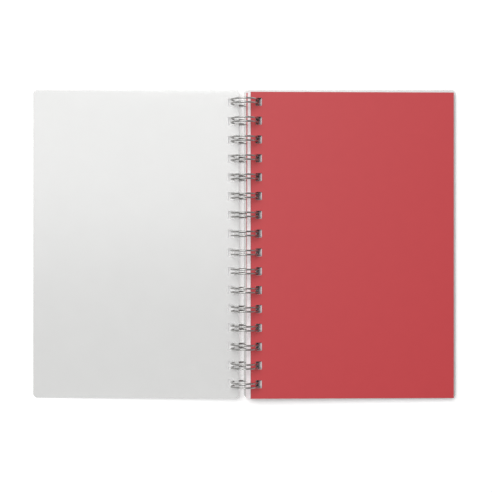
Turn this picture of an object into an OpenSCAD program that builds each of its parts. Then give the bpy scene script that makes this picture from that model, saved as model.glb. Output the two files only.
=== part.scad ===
// Twin-loop notebook, opened at its front cover and lying flat.
// X runs across the open notebook, Y up the page and Z up. The origin is on the table,
// under the middle of the wire loops, and the loops' axis runs along Y.

/* [Wire] */
// Outside diameter of the wire loops
ring_d = 19; // [17:0.5:22]
// Diameter of the wire
wire_d = 1.1; // [0.8:0.1:1.2]
// Distance from one double loop to the next
loop_pitch = 12.7; // [10:0.1:12.9]
// Distance between the two strands of a double loop, centre to centre
strand_gap = 2.7; // [2.5:0.1:3]
// Radius of the bends beside the seam, to the middle of the wire
bend_r = 1.35; // [1:0.05:1.6]
// Radius of the bends in the loops' round tips, to the middle of the wire
tip_r = 1.1; // [0.8:0.05:1.2]
// Clearance between the round loop tips and the bends that they close against
tip_clear = 0.3; // [0.2:0.05:0.6]
// Clearance above and below the seam wire, between the back card and the back cover
seam_clear = 0.3; // [0.25:0.05:0.6]

/* [Punched holes] */
// Size of a hole across the page
hole_w = 4.2; // [3.8:0.1:4.6]
// Size of a hole along the spine
hole_h = 5.45; // [5.2:0.05:7]
// Radius of a hole's corners in the covers and cards
hole_corner_r = 0.5; // [0.2:0.1:1]
// Strip of cover between a hole and the spine edge
cover_margin = 3; // [2.5:0.1:3.6]
// Strip of card or page between a hole and the spine edge
leaf_margin = 3.4; // [2.5:0.1:3.8]
// Least distance from the middle of the first or last hole to the end of the page
end_margin = 5; // [4:0.5:7]
// How far the middle of the row of holes and loops stands above the covers' middle
row_lift = 0.5; // [0:0.1:1.5]
// Clearance between a sheet's holes and the wire, measured along the loop's radius
hole_clear = 0.2; // [0.15:0.05:0.35]

/* [Covers] */
// Width of the front cover
front_cover_w = 140.5; // [120:0.05:160]
// Width of the back cover
back_cover_w = 144.3; // [125:0.05:165]
// Height of both covers
cover_h = 210; // [206:1:240]
// Thickness of a cover
cover_t = 0.4; // [0.3:0.05:0.5]
// Radius of the covers' corners
cover_corner_r = 3; // [1:0.5:8]
// How far the open front cover's underside lies below the loops' axis at the spine
front_cover_drop = 4.2; // [3.5:0.1:5]
// Height of the back cover's underside above the inside of the loops
back_cover_lift = 0.6; // [0.5:0.05:0.7]

/* [Cards and pages] */
// Width of the cards and pages
leaf_w = 137.7; // [110:0.1:140]
// Height of the cards and pages
leaf_h = 207; // [196:1:209]
// How far the middle of the cards and pages lies below the middle of the row of holes
leaf_drop = 1.5; // [0:0.1:2]
// Thickness of each red card
card_t = 0.35; // [0.2:0.05:0.5]
// Thickness of all the pages together
pages_t = 4.5; // [2:0.1:5]
// Air between one sheet and the next where they lie together
leaf_air = 0.05; // [0.02:0.01:0.1]
// How far the back card hangs back from the wire
back_card_play = 1.1; // [0:0.1:1.5]
// How far the pages hang back from the wire
page_play = 0.6; // [0:0.1:1.3]
// How far the front card hangs back from the wire
front_card_play = 0.65; // [0:0.05:1]

/* [Hidden] */
$fn = 48;
wire_sides = 40;

// The wire's two arcs overlap by arc_lap degrees, and its seam halves by seam_lap each
arc_lap = 5;
seam_lap = 0.5;

ring_r = (ring_d - wire_d) / 2;
ring_inside_r = ring_r - wire_d / 2;
axis_z = ring_d / 2;
loop_count = floor((leaf_h - 2 * end_margin) / loop_pitch) + 1;
sheet_inner_r = ring_inside_r - hole_clear;

// Levels are heights measured from the loops' axis, square to the sheet
back_cover_level = back_cover_lift - ring_inside_r;
back_cover_top = back_cover_level + cover_t;
stack_gap = wire_d + 2 * seam_clear;
front_cover_level = -front_cover_drop;

// Place of a double loop along the spine, counted from the foot
function loop_y(i) = row_lift + (i - (loop_count - 1) / 2) * loop_pitch;

// Near side of a sheet's holes, out from the loops' axis, where they just clear the wire
function hole_at(level) = sqrt(sheet_inner_r ^ 2 - level ^ 2);

// The covers slope from the loops down to the table at their far edges
back_cover_edge = hole_at(back_cover_level) - cover_margin;
back_tilt = asin((axis_z + back_cover_level) / (back_cover_edge + back_cover_w));
front_cover_edge = hole_at(front_cover_level) - cover_margin;
front_tilt = asin((axis_z + front_cover_level) / (front_cover_edge + front_cover_w));

// The cards and pages lie on the seam at the spine and on the back cover at the far edge
wedge = asin((stack_gap - leaf_air) / leaf_w);
leaf_tilt = back_tilt + wedge;
back_card_level = (back_cover_top + stack_gap) * cos(wedge);
back_card_edge = hole_at(back_card_level) - leaf_margin - back_card_play;
pages_level = back_card_level + card_t;
pages_top = pages_level + pages_t;
pages_low_edge = hole_at(pages_level) - leaf_margin - page_play;
pages_high_edge = hole_at(pages_top) - leaf_margin - page_play;
front_card_level = pages_top + leaf_air;
front_card_edge = hole_at(front_card_level) - leaf_margin - front_card_play;
leaf_middle = row_lift - leaf_drop;

// Angles in tenths of a degree, so that the bends meet the strands exactly
function round_angle(a) = round(10 * a) / 10;

// The seam wire lies halfway between the back cover and the back card
bridge_r = sqrt(ring_r ^ 2 + bend_r ^ 2);
bridge_angle = asin((back_cover_top + stack_gap / 2) / bridge_r) - back_tilt;
root_angle = round_angle(bridge_angle + atan(bend_r / ring_r));
bend_reach = strand_gap / 2 + bend_r;
mouth_len = sqrt((tip_r + bend_r + wire_d + tip_clear) ^ 2 - (tip_r + bend_r) ^ 2);
mouth_angle = round_angle(mouth_len / ring_r * 180 / PI);
bridge_len = loop_pitch - 2 * bend_reach;

module rounded_rect(w, h, r) {
    translate([r, -h / 2]) square([w - 2 * r, h]);
    translate([0, r - h / 2]) square([w, h - 2 * r]);
    for (x = [r, w - r], y = [r - h / 2, h / 2 - r]) translate([x, y]) circle(r = r);
}

module at_each_loop() {
    for (i = [0 : loop_count - 1]) translate([0, loop_y(i), 0]) children();
}

// Lays a sheet out from the loops' axis at its slope, with X across the page
module leaning(tilt) {
    translate([0, 0, axis_z]) rotate([0, tilt, 0]) children();
}

// One sheet with its row of holes, lying at a level below or above the loops' axis
module punched_sheet(edge, level, w, h, t, margin, corner_r, middle) {
    translate([edge, 0, level]) difference() {
        linear_extrude(height = t) translate([0, middle]) {
            if (corner_r > 0) rounded_rect(w, h, corner_r);
            else translate([0, -h / 2]) square([w, h]);
        }
        at_each_loop() translate([margin, 0, -t])
            linear_extrude(height = 3 * t) rounded_rect(hole_w, hole_h, hole_corner_r);
    }
}

module bent_wire(r, angle) {
    rotate_extrude(angle = angle) translate([r, 0]) circle(d = wire_d, $fn = wire_sides);
}

module straight_wire(length) {
    cylinder(d = wire_d, h = length, $fn = wire_sides);
}

// Stands at a point of the loop, with X out along its radius and Z along the wire
module on_loop(angle) {
    rotate([0, -angle, 0]) translate([ring_r, 0, 0]) children();
}

// Quarter bend from a wire that runs down Z into one that runs towards +Y
module quarter_bend(r) {
    translate([0, r, 0]) rotate([0, 90, 0]) rotate([0, 0, -90]) bent_wire(r, 90);
}

// Root of a strand, bent over into its half of the seam wire that runs to the next loop
module root() {
    quarter_bend(bend_r);
    translate([0, bend_r, -bend_r]) rotate([-90, 0, 0]) straight_wire(bridge_len / 2 + seam_lap);
}

// Round end that joins the two strands at the loop's tip
module tip() {
    half = strand_gap / 2;
    mirror([0, 0, 1]) {
        translate([0, -half, 0]) quarter_bend(tip_r);
        mirror([0, 1, 0]) translate([0, -half, 0]) quarter_bend(tip_r);
        translate([0, tip_r - half, -tip_r]) rotate([-90, 0, 0]) straight_wire(strand_gap - 2 * tip_r);
    }
}

// One strand, bent round from its root at the seam and from its tip. The two arcs lie in
// each other for a few degrees at the far side.
module strand() {
    half_turn = (360 - mouth_angle) / 2;
    rotate([90, 0, 0]) {
        rotate([0, 0, root_angle]) bent_wire(ring_r, half_turn + arc_lap);
        rotate([0, 0, root_angle - mouth_angle]) mirror([0, 1, 0]) bent_wire(ring_r, half_turn);
    }
}

// Two strands joined by a round tip, the way each loop of the comb is bent
module double_loop(first, last) {
    half = strand_gap / 2;
    for (side = [-1, 1]) translate([0, side * half, 0]) {
        strand();
        is_end = (side < 0 && first) || (side > 0 && last);
        on_loop(root_angle) {
            if (is_end) translate([0, 0, -bend_r]) straight_wire(bend_r);
            else if (side > 0) root();
            else mirror([0, 1, 0]) root();
        }
    }
    on_loop(root_angle - mouth_angle) tip();
}

module wire_binding() {
    color("silver") translate([0, 0, axis_z]) for (i = [0 : loop_count - 1]) {
        translate([0, loop_y(i), 0]) double_loop(i == 0, i == loop_count - 1);
    }
}

module front_cover() {
    color("gainsboro") mirror([1, 0, 0]) leaning(front_tilt)
        punched_sheet(front_cover_edge, front_cover_level, front_cover_w, cover_h, cover_t,
            cover_margin, cover_corner_r, 0);
}

module back_cover() {
    color("whitesmoke") leaning(back_tilt)
        punched_sheet(back_cover_edge, back_cover_level, back_cover_w, cover_h, cover_t,
            cover_margin, cover_corner_r, 0);
}

module front_card() {
    color("indianred") leaning(leaf_tilt)
        punched_sheet(front_card_edge, front_card_level, leaf_w, leaf_h, card_t,
            leaf_margin, 0, leaf_middle);
}

module back_card() {
    color("indianred") leaning(leaf_tilt)
        punched_sheet(back_card_edge, back_card_level, leaf_w, leaf_h, card_t,
            leaf_margin, 0, leaf_middle);
}

// Section of the stack of pages, fanned out where the loops push the upper pages away.
// It starts at from, counted from the pages' spine edges, and reaches past both faces by extra.
module fanned_section(from, w, extra) {
    fan = (pages_high_edge - pages_low_edge) / pages_t;
    low = pages_low_edge + from - extra * fan;
    high = pages_high_edge + from + extra * fan;
    polygon([[low, pages_level - extra], [low + w, pages_level - extra],
        [high + w, pages_top + extra], [high, pages_top + extra]]);
}

module page_block() {
    color("white") leaning(leaf_tilt) difference() {
        translate([0, leaf_middle, 0]) rotate([90, 0, 0])
            linear_extrude(height = leaf_h, center = true) fanned_section(0, leaf_w, 0);
        at_each_loop() rotate([90, 0, 0])
            linear_extrude(height = hole_h, center = true)
                fanned_section(leaf_margin, hole_w, pages_t / 4);
    }
}

wire_binding();
front_cover();
front_card();
page_block();
back_card();
back_cover();
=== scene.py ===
import functools
import logging
import math
import random
from dataclasses import dataclass, field
from enum import Enum

import bmesh
import bpy
from mathutils import Matrix, Vector

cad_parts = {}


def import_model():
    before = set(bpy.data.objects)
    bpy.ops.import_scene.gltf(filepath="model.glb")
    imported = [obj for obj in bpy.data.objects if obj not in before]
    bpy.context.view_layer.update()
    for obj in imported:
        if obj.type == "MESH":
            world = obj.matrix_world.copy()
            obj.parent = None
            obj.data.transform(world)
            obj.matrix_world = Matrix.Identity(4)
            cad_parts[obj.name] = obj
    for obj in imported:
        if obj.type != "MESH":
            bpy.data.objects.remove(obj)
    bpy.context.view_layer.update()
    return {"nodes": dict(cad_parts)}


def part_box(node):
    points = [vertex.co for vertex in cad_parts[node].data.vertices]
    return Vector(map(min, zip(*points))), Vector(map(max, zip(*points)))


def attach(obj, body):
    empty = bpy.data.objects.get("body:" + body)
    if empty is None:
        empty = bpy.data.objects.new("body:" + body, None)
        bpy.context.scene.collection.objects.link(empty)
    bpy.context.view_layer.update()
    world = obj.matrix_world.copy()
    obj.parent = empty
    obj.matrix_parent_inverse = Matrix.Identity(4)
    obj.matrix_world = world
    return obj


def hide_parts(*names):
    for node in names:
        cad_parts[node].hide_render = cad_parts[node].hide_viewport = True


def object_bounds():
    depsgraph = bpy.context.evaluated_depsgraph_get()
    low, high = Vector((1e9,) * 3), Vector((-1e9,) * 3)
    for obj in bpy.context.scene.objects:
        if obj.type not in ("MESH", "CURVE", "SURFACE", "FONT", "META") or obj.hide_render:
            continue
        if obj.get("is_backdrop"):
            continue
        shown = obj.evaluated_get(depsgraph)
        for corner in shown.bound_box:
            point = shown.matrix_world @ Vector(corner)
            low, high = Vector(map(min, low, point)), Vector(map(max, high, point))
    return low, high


MM = 0.001
IMAGE_PIXELS = 492

CARD_THICKNESS = 0.35 * MM
# From the spine edge of a card or a page in to its holes
LEAF_MARGIN = 3.4 * MM
# Edges that turn more than this stay sharp in the shading
SHARP_TURN = math.radians(15)
# Edges that turn more than this, and lie flatter than this slope, are the rim of a sheet's face
RIM_TURN = math.radians(60)
RIM_SLOPE = 0.5
# Places nearer to each other than this count as one
SAME_PLACE = 0.01 * MM
# The holes' own corners lie at least this far in from a sheet's head and foot
END_CLEARANCE = 1 * MM

log = logging.getLogger("notebook")


class Side(Enum):
    """The side of the wire on which a leaf lies, as the sign of its X."""

    LEFT = -1
    RIGHT = 1


class Sheen(Enum):
    """How a surface throws back light, as the roughness of its reflection."""

    SMOOTH = 0.22
    SATIN = 0.3
    DULL = 0.55
    CHALKY = 0.9


def linear(hex_colour: str) -> tuple[float, float, float, float]:
    """Turns an sRGB colour into the linear one that the shaders use.

    Args:
        hex_colour: the colour as "#rrggbb".

    Returns:
        Red, green, blue and an alpha of 1, linear.
    """
    channels = [int(hex_colour[i:i + 2], 16) / 255 for i in (1, 3, 5)]
    red, green, blue = (c / 12.92 if c <= 0.04045 else ((c + 0.055) / 1.055) ** 2.4 for c in channels)
    return red, green, blue, 1.0


def add_node(tree: bpy.types.NodeTree, kind: str, inputs: dict | None = None,
             **settings: object) -> bpy.types.Node:
    """Adds a shader node, with its settings, its values and what is linked to it.

    Args:
        tree: the node tree that it joins.
        kind: the node's type, such as "ShaderNodeBump".
        inputs: a value, or the output socket that is linked in, for each input by name or number.
        **settings: the node's own properties.

    Returns:
        The new node.
    """
    node = tree.nodes.new(kind)
    for name, value in settings.items():
        setattr(node, name, value)
    for name, value in (inputs or {}).items():
        if isinstance(value, bpy.types.NodeSocket):
            tree.links.new(value, node.inputs[name])
        else:
            node.inputs[name].default_value = value
    return node


def new_material(name: str) -> tuple[bpy.types.Material, bpy.types.NodeTree, bpy.types.Node]:
    """Makes an empty node material.

    Args:
        name: the material's name.

    Returns:
        The material, its node tree and its output node.
    """
    material = bpy.data.materials.new(name)
    material.use_nodes = True
    tree = material.node_tree
    tree.nodes.clear()
    return material, tree, add_node(tree, "ShaderNodeOutputMaterial")


def object_point(tree: bpy.types.NodeTree) -> bpy.types.NodeSocket:
    """Gives the socket of Object coordinates, in metres from the notebook's origin."""
    return add_node(tree, "ShaderNodeTexCoord").outputs["Object"]


@dataclass(frozen=True)
class FrostedPolypropylene:
    """Extruded polypropylene sheet, chilled on a sand-textured roller.

    The roller's print gives a fine even grain, which blurs reflections into a soft haze, and the
    clear resin under it lets some of what lies beneath show through.
    """

    name: str = "frosted_polypropylene_embossed"
    colour: str = "#e9e9e8"
    cloud_colour: str = "#e5e5e4"
    # The share of light that passes straight through the sheet, which has two faces
    see_through: float = 0.25
    ior: float = 1.56
    sheen: Sheen = Sheen.SMOOTH
    sheen_spread: float = 0.03
    # The real grain is about 0.1 mm, too fine to show, so it is drawn at 0.6 mm
    grain: float = 0.6 * MM
    grain_depth: float = 0.004 * MM
    cloud: float = 18 * MM

    def material(self) -> bpy.types.Material:
        """Builds the material.

        Returns:
            The frosted sheet's material.
        """
        material, tree, output = new_material(self.name)
        point = object_point(tree)
        grain = add_node(tree, "ShaderNodeTexNoise",
                         {"Vector": point, "Scale": 1 / self.grain, "Detail": 2.0, "Roughness": 0.6})
        cloud = add_node(tree, "ShaderNodeTexNoise",
                         {"Vector": point, "Scale": 1 / self.cloud, "Detail": 2.0})
        colour = add_node(tree, "ShaderNodeMix", {
            "Factor": cloud.outputs["Fac"], 6: linear(self.colour), 7: linear(self.cloud_colour),
        }, data_type="RGBA")
        polish = add_node(tree, "ShaderNodeMapRange", {
            "Value": grain.outputs["Fac"],
            "To Min": self.sheen.value - self.sheen_spread,
            "To Max": self.sheen.value + self.sheen_spread,
        })
        bump = add_node(tree, "ShaderNodeBump", {
            "Height": grain.outputs["Fac"], "Strength": 1.0, "Distance": self.grain_depth,
        })
        surface = add_node(tree, "ShaderNodeBsdfPrincipled", {
            "Base Color": colour.outputs[2], "Roughness": polish.outputs["Result"],
            "Normal": bump.outputs["Normal"], "IOR": self.ior,
            "Alpha": 1 - math.sqrt(self.see_through),
        })
        tree.links.new(surface.outputs["BSDF"], output.inputs["Surface"])
        return material


@dataclass(frozen=True)
class PressedCard:
    """Smooth board dyed red right through, calendered to a satin face.

    Rolling leaves a low sheen with faint cloudy patches where the fibres lie thicker. A darker band
    along the cut edge beside the wire is painted shade.
    """

    name: str = "red_board_calendered"
    colour: str = "#be373c"
    cloud_colour: str = "#ba343a"
    # The colour of the shade painted along the cut edge beside the wire
    edge_shade_colour: str = "#8d3a40"
    ior: float = 1.5
    sheen: Sheen = Sheen.DULL
    sheen_spread: float = 0.05
    # Fibres are 0.03 mm wide, too fine to show, so their mottle is drawn at 0.8 mm
    fibre: float = 0.8 * MM
    fibre_depth: float = 0.01 * MM
    cloud: float = 9 * MM
    # The X of the cut edge beside the wire, and how far from it the painted shade reaches
    edge: float = 4.1 * MM
    edge_shade_width: float = 0.6 * MM

    def material(self) -> bpy.types.Material:
        """Builds the material.

        Returns:
            The red board's material.
        """
        material, tree, output = new_material(self.name)
        point = object_point(tree)
        fibre = add_node(tree, "ShaderNodeTexNoise",
                         {"Vector": point, "Scale": 1 / self.fibre, "Detail": 3.0, "Roughness": 0.65})
        cloud = add_node(tree, "ShaderNodeTexNoise",
                         {"Vector": point, "Scale": 1 / self.cloud, "Detail": 3.0, "Roughness": 0.6})
        formation = add_node(tree, "ShaderNodeMix", {
            "Factor": cloud.outputs["Fac"], 6: linear(self.colour), 7: linear(self.cloud_colour),
        }, data_type="RGBA")
        across = add_node(tree, "ShaderNodeSeparateXYZ", {"Vector": point})
        inward = add_node(tree, "ShaderNodeMath", {0: across.outputs["X"], 1: self.edge},
                          operation="SUBTRACT")
        away = add_node(tree, "ShaderNodeMath", {0: inward.outputs[0]}, operation="ABSOLUTE")
        # Painted shade: the colour darkens near the cut edge beside the wire
        edge_shade = add_node(tree, "ShaderNodeMapRange", {
            "Value": away.outputs[0], "From Min": 0.0, "From Max": self.edge_shade_width,
            "To Min": 1.0, "To Max": 0.0,
        }, interpolation_type="SMOOTHSTEP")
        colour = add_node(tree, "ShaderNodeMix", {
            "Factor": edge_shade.outputs["Result"], 6: formation.outputs[2], 7: linear(self.edge_shade_colour),
        }, data_type="RGBA")
        bump = add_node(tree, "ShaderNodeBump", {
            "Height": fibre.outputs["Fac"], "Strength": 1.0, "Distance": self.fibre_depth,
        })
        polish = add_node(tree, "ShaderNodeMapRange", {
            "Value": fibre.outputs["Fac"],
            "To Min": self.sheen.value - self.sheen_spread,
            "To Max": self.sheen.value + self.sheen_spread,
        })
        surface = add_node(tree, "ShaderNodeBsdfPrincipled", {
            "Base Color": colour.outputs[2], "Roughness": polish.outputs["Result"],
            "Normal": bump.outputs["Normal"], "IOR": self.ior,
        })
        tree.links.new(surface.outputs["BSDF"], output.inputs["Surface"])
        return material


@dataclass(frozen=True)
class WritingPaper:
    """Uncoated white writing paper of about 80 grams.

    Its open fibres scatter light evenly, with no gloss, and show as a very faint mottle. Shade is
    painted into the colour where little open space lies around the paper, as down in the punched holes.
    """

    name: str = "white_writing_paper_uncoated"
    colour: str = "#f2ebec"
    mottle_colour: str = "#ebe3e5"
    # The colour of the shade painted down in the holes and other tight places
    hole_shade_colour: str = "#6f6266"
    # Paper with less open space within this reach is painted darker, as painted shade, between these two shares
    # of it
    hole_depth: float = 5 * MM
    closed_share: float = 0.15
    open_share: float = 0.6
    openness_samples: int = 8
    ior: float = 1.5
    sheen: Sheen = Sheen.CHALKY
    mottle: float = 1.6 * MM
    tooth: float = 0.5 * MM
    tooth_depth: float = 0.008 * MM

    def material(self) -> bpy.types.Material:
        """Builds the material.

        Returns:
            The paper's material.
        """
        material, tree, output = new_material(self.name)
        point = object_point(tree)
        mottle = add_node(tree, "ShaderNodeTexNoise",
                          {"Vector": point, "Scale": 1 / self.mottle, "Detail": 4.0, "Roughness": 0.6})
        tooth = add_node(tree, "ShaderNodeTexNoise",
                         {"Vector": point, "Scale": 1 / self.tooth, "Detail": 2.0})
        colour = add_node(tree, "ShaderNodeMix", {
            "Factor": mottle.outputs["Fac"], 6: linear(self.colour), 7: linear(self.mottle_colour),
        }, data_type="RGBA")
        # Painted shade: the less open space around the paper, the darker its colour
        openness = add_node(tree, "ShaderNodeAmbientOcclusion", {"Distance": self.hole_depth},
                            samples=self.openness_samples)
        lit = add_node(tree, "ShaderNodeMapRange", {
            "Value": openness.outputs["AO"],
            "From Min": self.closed_share, "From Max": self.open_share,
        }, interpolation_type="SMOOTHSTEP")
        shaded = add_node(tree, "ShaderNodeMix", {
            "Factor": lit.outputs["Result"], 6: linear(self.hole_shade_colour), 7: colour.outputs[2],
        }, data_type="RGBA")
        bump = add_node(tree, "ShaderNodeBump", {
            "Height": tooth.outputs["Fac"], "Strength": 1.0, "Distance": self.tooth_depth,
        })
        surface = add_node(tree, "ShaderNodeBsdfPrincipled", {
            "Base Color": shaded.outputs[2], "Roughness": self.sheen.value,
            "Normal": bump.outputs["Normal"], "IOR": self.ior,
        })
        tree.links.new(surface.outputs["BSDF"], output.inputs["Surface"])
        return material


@dataclass(frozen=True)
class NickelWire:
    """Drawn steel wire with a thin nickel plate.

    The drawing die leaves fine scratches and the plate keeps them, so the wire is bright but not
    a mirror, and its grey shifts slightly from place to place.
    """

    name: str = "nickel_plated_steel_wire"
    colour: str = "#bcbbb9"
    dull_colour: str = "#a8a7a5"
    sheen: Sheen = Sheen.SATIN
    # How much brighter and duller the wire is in places
    brighter: float = 0.06
    duller: float = 0.08
    streak: float = 2.5 * MM
    scratch: float = 0.25 * MM
    scratch_depth: float = 0.003 * MM

    def material(self) -> bpy.types.Material:
        """Builds the material.

        Returns:
            The wire's material.
        """
        material, tree, output = new_material(self.name)
        point = object_point(tree)
        streak = add_node(tree, "ShaderNodeTexNoise",
                          {"Vector": point, "Scale": 1 / self.streak, "Detail": 3.0})
        scratch = add_node(tree, "ShaderNodeTexNoise",
                           {"Vector": point, "Scale": 1 / self.scratch, "Detail": 2.0})
        colour = add_node(tree, "ShaderNodeMix", {
            "Factor": streak.outputs["Fac"], 6: linear(self.colour), 7: linear(self.dull_colour),
        }, data_type="RGBA")
        polish = add_node(tree, "ShaderNodeMapRange", {
            "Value": streak.outputs["Fac"],
            "To Min": self.sheen.value - self.brighter,
            "To Max": self.sheen.value + self.duller,
        })
        bump = add_node(tree, "ShaderNodeBump", {
            "Height": scratch.outputs["Fac"], "Strength": 1.0, "Distance": self.scratch_depth,
        })
        surface = add_node(tree, "ShaderNodeBsdfPrincipled", {
            "Base Color": colour.outputs[2], "Metallic": 1.0, "Roughness": polish.outputs["Result"],
            "Normal": bump.outputs["Normal"],
        })
        tree.links.new(surface.outputs["BSDF"], output.inputs["Surface"])
        return material


@functools.cache
def row_middle() -> float:
    """Gives the Y of the middle of the wire's row of loops."""
    low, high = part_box("wire_binding")
    return (low.y + high.y) / 2


@dataclass(frozen=True)
class Punching:
    """The row of square-cornered holes along the spine edge of every leaf."""

    margin: float
    count: int = 16
    pitch: float = 12.7 * MM
    width: float = 4.2 * MM
    height: float = 5.45 * MM
    corner: float = 0.5 * MM
    corner_segments: int = 3

    def centres(self) -> list[float]:
        """Gives the Y of each hole's centre, one at each double loop of the wire."""
        return [row_middle() + (i - (self.count - 1) / 2) * self.pitch for i in range(self.count)]


@dataclass(frozen=True)
class Lie:
    """Where a leaf's underside lies: from its spine edge out to its fore edge."""

    side: Side
    near: tuple[float, float]
    far: tuple[float, float]
    foot: float
    head: float

    @classmethod
    def of_node(cls, node: str, thickness: float) -> "Lie":
        """Reads where a leaf lies from the corners of its solid.

        Args:
            node: the name of the leaf's solid.
            thickness: the leaf's thickness.

        Returns:
            The place of the leaf's underside.
        """
        low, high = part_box(node)
        near_z, far_z = high.z - thickness, low.z
        if low.x < 0:
            return cls(Side.LEFT, (-high.x, near_z), (-low.x, far_z), low.y, high.y)
        return cls(Side.RIGHT, (low.x, near_z), (high.x, far_z), low.y, high.y)

    @property
    def width(self) -> float:
        """Width of the leaf across the page."""
        return math.dist(self.near, self.far)

    @property
    def tilt(self) -> float:
        """Slope from the spine down to the fore edge, in radians."""
        return math.atan2(self.near[1] - self.far[1], self.far[0] - self.near[0])


@dataclass
class Leaf:
    """One thin sheet of the notebook, punched along its spine edge."""

    name: str
    lie: Lie
    thickness: float
    punching: Punching
    corner: float = 0.0
    edge_round: float = 0.0
    bands: int = 4
    corner_segments: int = 8
    edge_segments: int = 2

    def cut(self, sheet: bmesh.types.BMesh, place: tuple[float, float], across: bool) -> None:
        """Cuts the sheet's faces along one straight line.

        Args:
            sheet: the flat sheet.
            place: a point on the line.
            across: whether the line runs across the page, and not along the spine.
        """
        normal = (0, 1, 0) if across else (1, 0, 0)
        whole = sheet.verts[:] + sheet.edges[:] + sheet.faces[:]
        bmesh.ops.bisect_plane(sheet, geom=whole, plane_co=(*place, 0), plane_no=normal)

    def flat(self) -> bmesh.types.BMesh:
        """Makes the flat sheet with its holes, its spine edge on X = 0.

        Returns:
            A single layer of faces.
        """
        lie, holes = self.lie, self.punching
        sheet = bmesh.new()
        bmesh.ops.create_grid(sheet, x_segments=1, y_segments=1, size=0.5)
        size = Matrix.Diagonal((lie.width, lie.head - lie.foot, 1, 1))
        place = Matrix.Translation((lie.width / 2, (lie.head + lie.foot) / 2, 0))
        bmesh.ops.transform(sheet, matrix=place @ size, verts=sheet.verts)
        columns = (holes.margin, holes.margin + holes.width)
        for x in columns:
            self.cut(sheet, (x, 0), across=False)
        for i in range(1, self.bands):
            x = columns[1] + (lie.width - columns[1]) * i / self.bands
            self.cut(sheet, (x, 0), across=False)
        rows = [(y - holes.height / 2, y + holes.height / 2) for y in holes.centres()]
        for row in rows:
            for y in row:
                self.cut(sheet, (0, y), across=True)

        def in_hole(point: Vector) -> bool:
            """Whether a point is inside one of the holes."""
            return columns[0] < point.x < columns[1] and any(a < point.y < b for a, b in rows)

        gone = [f for f in sheet.faces if in_hole(f.calc_center_median())]
        bmesh.ops.delete(sheet, geom=gone, context="FACES")
        self.round_corners(sheet, columns)
        return sheet

    def round_corners(self, sheet: bmesh.types.BMesh, columns: tuple[float, float]) -> None:
        """Rounds the sheet's own corners and those of its holes.

        Args:
            sheet: the flat sheet.
            columns: the X of the holes' two sides.
        """
        rim = [v for v in sheet.verts if v.is_boundary]
        lowest, highest = self.lie.foot + END_CLEARANCE, self.lie.head - END_CLEARANCE
        inside = [v for v in rim if any(abs(v.co.x - x) < SAME_PLACE for x in columns)
                  and lowest < v.co.y < highest]
        bmesh.ops.bevel(sheet, geom=inside, offset=self.punching.corner,
                        segments=self.punching.corner_segments, profile=0.5,
                        affect="VERTICES", material=-1)
        if self.corner:
            outer = [v for v in sheet.verts if len(v.link_edges) == 2]
            corners = [v for v in outer
                       if min(v.co.x, self.lie.width - v.co.x) < SAME_PLACE
                       and min(v.co.y - self.lie.foot, self.lie.head - v.co.y) < SAME_PLACE]
            bmesh.ops.bevel(sheet, geom=corners, offset=self.corner, segments=self.corner_segments,
                            profile=0.5, affect="VERTICES", material=-1)

    def height(self, out: float) -> float:
        """Gives the height of the underside, out along the leaf from its spine edge."""
        return self.lie.near[1] - out * math.sin(self.lie.tilt)

    def settle(self, sheet: bmesh.types.BMesh) -> None:
        """Lays the flat sheet where the leaf lies.

        Args:
            sheet: the flat sheet.
        """
        lie = self.lie
        for vert in sheet.verts:
            out = vert.co.x
            x = lie.near[0] + out * math.cos(lie.tilt)
            vert.co = Vector((lie.side.value * x, vert.co.y, self.height(out)))

    def mesh(self) -> bmesh.types.BMesh:
        """Makes the whole leaf: flat, laid in place, given its thickness and softened edges.

        Returns:
            A closed mesh.
        """
        sheet = self.flat()
        self.settle(sheet)
        bmesh.ops.recalc_face_normals(sheet, faces=sheet.faces)
        if sum(f.normal.z for f in sheet.faces) < 0:
            bmesh.ops.reverse_faces(sheet, faces=sheet.faces)
        grown = bmesh.ops.extrude_face_region(sheet, geom=sheet.faces[:])
        top = [v for v in grown["geom"] if isinstance(v, bmesh.types.BMVert)]
        bmesh.ops.translate(sheet, verts=top, vec=(0, 0, self.thickness))
        bmesh.ops.recalc_face_normals(sheet, faces=sheet.faces)
        if self.edge_round:
            sharp = [e for e in sheet.edges if e.is_manifold and e.calc_face_angle() > RIM_TURN
                     and e.calc_length() > 0 and self.is_rim(e)]
            bmesh.ops.bevel(sheet, geom=sharp, offset=self.edge_round, segments=self.edge_segments,
                            profile=0.5, affect="EDGES", material=-1)
        return sheet

    def is_rim(self, edge: bmesh.types.BMEdge) -> bool:
        """Whether an edge runs along the rim of a face, and not down the leaf's thickness."""
        along = edge.verts[1].co - edge.verts[0].co
        return abs(along.z) < RIM_SLOPE * along.length

    def build(self) -> bpy.types.Object:
        """Makes the leaf's object.

        Returns:
            The object, with its place in its mesh.
        """
        return piece_from(self.mesh(), self.name)


def piece_from(shape: bmesh.types.BMesh, name: str) -> bpy.types.Object:
    """Makes an object of a finished shape, smooth except at its sharp edges.

    Args:
        shape: the finished shape, which is freed.
        name: the object's name.

    Returns:
        The new object, at the origin.
    """
    for face in shape.faces:
        face.smooth = True
    for edge in shape.edges:
        edge.smooth = not (edge.is_manifold and edge.calc_face_angle() > SHARP_TURN)
    data = bpy.data.meshes.new(name)
    shape.to_mesh(data)
    shape.free()
    piece = bpy.data.objects.new(name, data)
    bpy.context.scene.collection.objects.link(piece)
    return piece


def dress_leaf(piece: bpy.types.Object, material: bpy.types.Material, body: str, node: str) -> bpy.types.Object:
    """Gives a new piece its finish and its place among the notebook's moving bodies.

    Args:
        piece: the new piece.
        material: its finish.
        body: the body that it rides on.
        node: the solid that it stands for.

    Returns:
        The same object.
    """
    piece.data.materials.append(material)
    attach(piece, body)
    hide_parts(node)
    return piece


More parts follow.
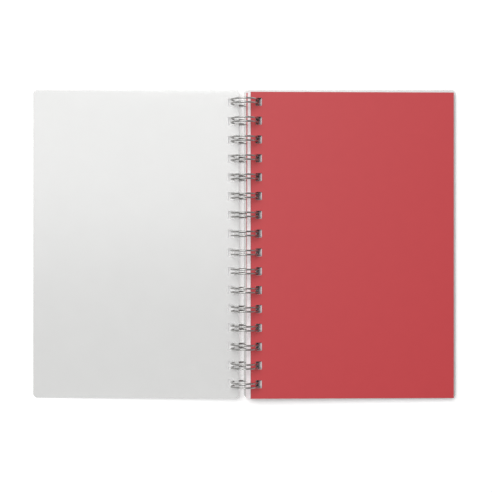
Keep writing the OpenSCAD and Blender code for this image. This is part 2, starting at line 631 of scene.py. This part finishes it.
@dataclass
class Covers:
    """The two frosted covers."""

    thickness: float = 0.4 * MM
    punching: Punching = Punching(margin=3 * MM)
    corner: float = 3 * MM
    edge_round: float = 0.08 * MM
    finish: FrostedPolypropylene = field(default_factory=FrostedPolypropylene)

    def build(self) -> list[bpy.types.Object]:
        """Makes both covers and dresses them.

        Returns:
            The front cover and the back cover.
        """
        material = self.finish.material()
        made = []
        for node, body in (("front_cover", "front_leaf"), ("back_cover", "back_leaf")):
            piece = Leaf(f"{node}_sheet", Lie.of_node(node, self.thickness), self.thickness,
                         self.punching, self.corner, self.edge_round).build()
            made.append(dress_leaf(piece, material, body, node))
        return made


@dataclass
class Cards:
    """The two red cards, in front of the pages and behind them."""

    thickness: float = CARD_THICKNESS
    punching: Punching = Punching(margin=LEAF_MARGIN)
    edge_round: float = 0.05 * MM
    finish: PressedCard = field(default_factory=PressedCard)

    def build(self) -> list[bpy.types.Object]:
        """Makes both cards and dresses them.

        Returns:
            The front card and the back card.
        """
        material = self.finish.material()
        made = []
        for node, body in (("front_card", "card_leaf"), ("back_card", "page_stack")):
            piece = Leaf(f"{node}_sheet", Lie.of_node(node, self.thickness), self.thickness,
                         self.punching, edge_round=self.edge_round).build()
            made.append(dress_leaf(piece, material, body, node))
        return made


@dataclass
class Pages:
    """The block of pages, as the separate sheets that it really is."""

    count: int = 50
    paper: float = 0.07 * MM
    # Fifty sheets of rounder holes would be too many faces for one piece
    punching: Punching = Punching(margin=LEAF_MARGIN, corner_segments=2)
    # How far the lowest sheets reach past the others towards the spine
    reach_past: float = 0.45 * MM
    # How far a sheet may stray from its neighbours, and how far the lowest sheet is turned
    stray: float = 0.12 * MM
    skew: float = math.radians(0.3)
    seed: int = 7
    finish: WritingPaper = field(default_factory=WritingPaper)

    def build(self) -> bpy.types.Object:
        """Makes the sheets of the block as one piece and dresses it.

        Returns:
            The page block.
        """
        chance = random.Random(self.seed)
        low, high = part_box("page_block")
        card = Lie.of_node("back_card", CARD_THICKNESS)
        reach, fall = card.width * math.cos(card.tilt), card.width * math.sin(card.tilt)
        first = Vector((low.x - self.reach_past, low.z + fall))
        last = Vector((high.x - reach, high.z - self.paper))
        middle = Vector(((low.x + high.x) / 2, (low.y + high.y) / 2, 0))
        block = bmesh.new()
        for i in range(self.count):
            share = i / (self.count - 1)
            near = first.lerp(last, share)
            near.x += chance.uniform(-self.stray, self.stray)
            shift = chance.uniform(-self.stray, self.stray)
            far = (near.x + reach, near.y - fall)
            lie = Lie(Side.RIGHT, (near.x, near.y), far, low.y, high.y)
            sheet = Leaf("page", lie, self.paper, self.punching, bands=1).mesh()
            turn = Matrix.Rotation(-self.skew * (1 - share), 3, "Z")
            bmesh.ops.rotate(sheet, cent=middle, matrix=turn, verts=sheet.verts)
            bmesh.ops.translate(sheet, vec=(0, shift, 0), verts=sheet.verts)
            page = bpy.data.meshes.new("page")
            sheet.to_mesh(page)
            sheet.free()
            block.from_mesh(page)
            bpy.data.meshes.remove(page)
        piece = piece_from(block, "page_sheets")
        return dress_leaf(piece, self.finish.material(), "page_stack", "page_block")


@dataclass
class Binding:
    """The twin-loop wire."""

    finish: NickelWire = field(default_factory=NickelWire)

    def dress(self, wire: bpy.types.Object) -> bpy.types.Object:
        """Gives the wire its plating.

        Args:
            wire: the wire's own solid, which keeps its shape.

        Returns:
            The same object.
        """
        wire.data.materials.clear()
        wire.data.materials.append(self.finish.material())
        return wire


@dataclass(frozen=True)
class Softbox:
    """One large square of soft light."""

    name: str
    place: tuple[float, float, float]
    size: tuple[float, float]
    watts: float

    def build(self) -> None:
        """Hangs the light, facing straight down."""
        lamp = bpy.data.lights.new(self.name, "AREA")
        lamp.shape = "RECTANGLE"
        lamp.size, lamp.size_y = self.size
        lamp.energy = self.watts
        light = bpy.data.objects.new(self.name, lamp)
        light.location = self.place
        bpy.context.scene.collection.objects.link(light)


@dataclass
class Studio:
    """The pale table, the light and the camera."""

    floor_size: float = 12.0
    floor_colour: str = "#e6e6e6"
    floor_glow: float = 0.08
    horizon: str = "#e4e4e4"
    zenith: str = "#828282"
    # How far up from the horizon the pale walls reach, as the sine of their angle
    wall_top: float = 0.3
    camera_height: float = 0.7
    camera_offset: tuple[float, float] = (1.0 * MM, -1.5 * MM)
    lens: float = 75.0
    sensor: float = 36.0
    key: Softbox = Softbox("key_softbox", (-1.45, 1.5, 4.0), (3.9, 3.0), 221.0)

    def floor(self) -> None:
        """Lays the table, white to the camera and to what mirrors it, and keeps shadows on it."""
        shape = bmesh.new()
        bmesh.ops.create_grid(shape, x_segments=1, y_segments=1, size=self.floor_size / 2)
        floor = piece_from(shape, "table")
        material, tree, output = new_material("white_laminate_table")
        path = add_node(tree, "ShaderNodeLightPath")
        seen = add_node(tree, "ShaderNodeMath", {
            0: path.outputs["Is Camera Ray"], 1: path.outputs["Is Glossy Ray"],
        }, operation="MAXIMUM")
        shown = add_node(tree, "ShaderNodeMath", {
            0: seen.outputs[0], 1: path.outputs["Is Transmission Ray"],
        }, operation="MAXIMUM")
        plain = add_node(tree, "ShaderNodeBsdfDiffuse", {"Color": linear(self.floor_colour)})
        white = add_node(tree, "ShaderNodeBsdfDiffuse", {"Color": linear("#ffffff")})
        glow = add_node(tree, "ShaderNodeEmission",
                        {"Color": linear("#ffffff"), "Strength": self.floor_glow})
        bright = add_node(tree, "ShaderNodeAddShader", {0: white.outputs[0], 1: glow.outputs[0]})
        mixed = add_node(tree, "ShaderNodeMixShader",
                         {0: shown.outputs[0], 1: plain.outputs[0], 2: bright.outputs[0]})
        tree.links.new(mixed.outputs[0], output.inputs["Surface"])
        floor.data.materials.append(material)
        floor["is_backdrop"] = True

    def world(self) -> None:
        """Stands the studio in a room of pale walls under a dimmer ceiling."""
        world = bpy.data.worlds.new("room")
        bpy.context.scene.world = world
        world.use_nodes = True
        tree = world.node_tree
        tree.nodes.clear()
        way = add_node(tree, "ShaderNodeTexCoord").outputs["Generated"]
        up = add_node(tree, "ShaderNodeSeparateXYZ", {"Vector": way}).outputs["Z"]
        rise = add_node(tree, "ShaderNodeMapRange", {
            "Value": up, "From Min": 0.0, "From Max": self.wall_top,
        }, interpolation_type="SMOOTHSTEP")
        room = add_node(tree, "ShaderNodeMix", {
            "Factor": rise.outputs["Result"], 6: linear(self.horizon), 7: linear(self.zenith),
        }, data_type="RGBA")
        light = add_node(tree, "ShaderNodeBackground", {"Color": room.outputs[2], "Strength": 1.0})
        output = add_node(tree, "ShaderNodeOutputWorld")
        tree.links.new(light.outputs[0], output.inputs["Surface"])

    def camera(self) -> None:
        """Hangs the camera over the notebook, looking straight down as the photograph does."""
        lens = bpy.data.cameras.new("camera")
        lens.lens, lens.sensor_width = self.lens, self.sensor
        camera = bpy.data.objects.new("camera", lens)
        camera.location = (*self.camera_offset, self.camera_height)
        bpy.context.scene.collection.objects.link(camera)
        bpy.context.scene.camera = camera

    def build(self) -> None:
        """Sets up the whole studio."""
        self.floor()
        self.world()
        self.key.build()
        self.camera()
        bpy.context.scene.view_settings.view_transform = "Standard"
        pixel = self.camera_height * self.sensor / self.lens / IMAGE_PIXELS
        log.info("a pixel is %.3f mm on the table", pixel / MM)


def corners() -> list[list[float]]:
    """Gives the lowest and the highest corner of what is shown, as plain numbers."""
    return [list(corner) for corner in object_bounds()]


def main() -> None:
    """Builds the notebook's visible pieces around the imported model, then the studio."""
    logging.basicConfig(level=logging.INFO, format="%(name)s: %(message)s")
    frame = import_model()
    pieces = [Binding().dress(frame["nodes"]["wire_binding"])]
    pieces += Covers().build()
    pieces += Cards().build()
    pieces.append(Pages().build())
    for piece in pieces:
        log.info("%s: %d faces", piece.name, len(piece.data.polygons))
    Studio().build()


if __name__ == "__main__":
    main()
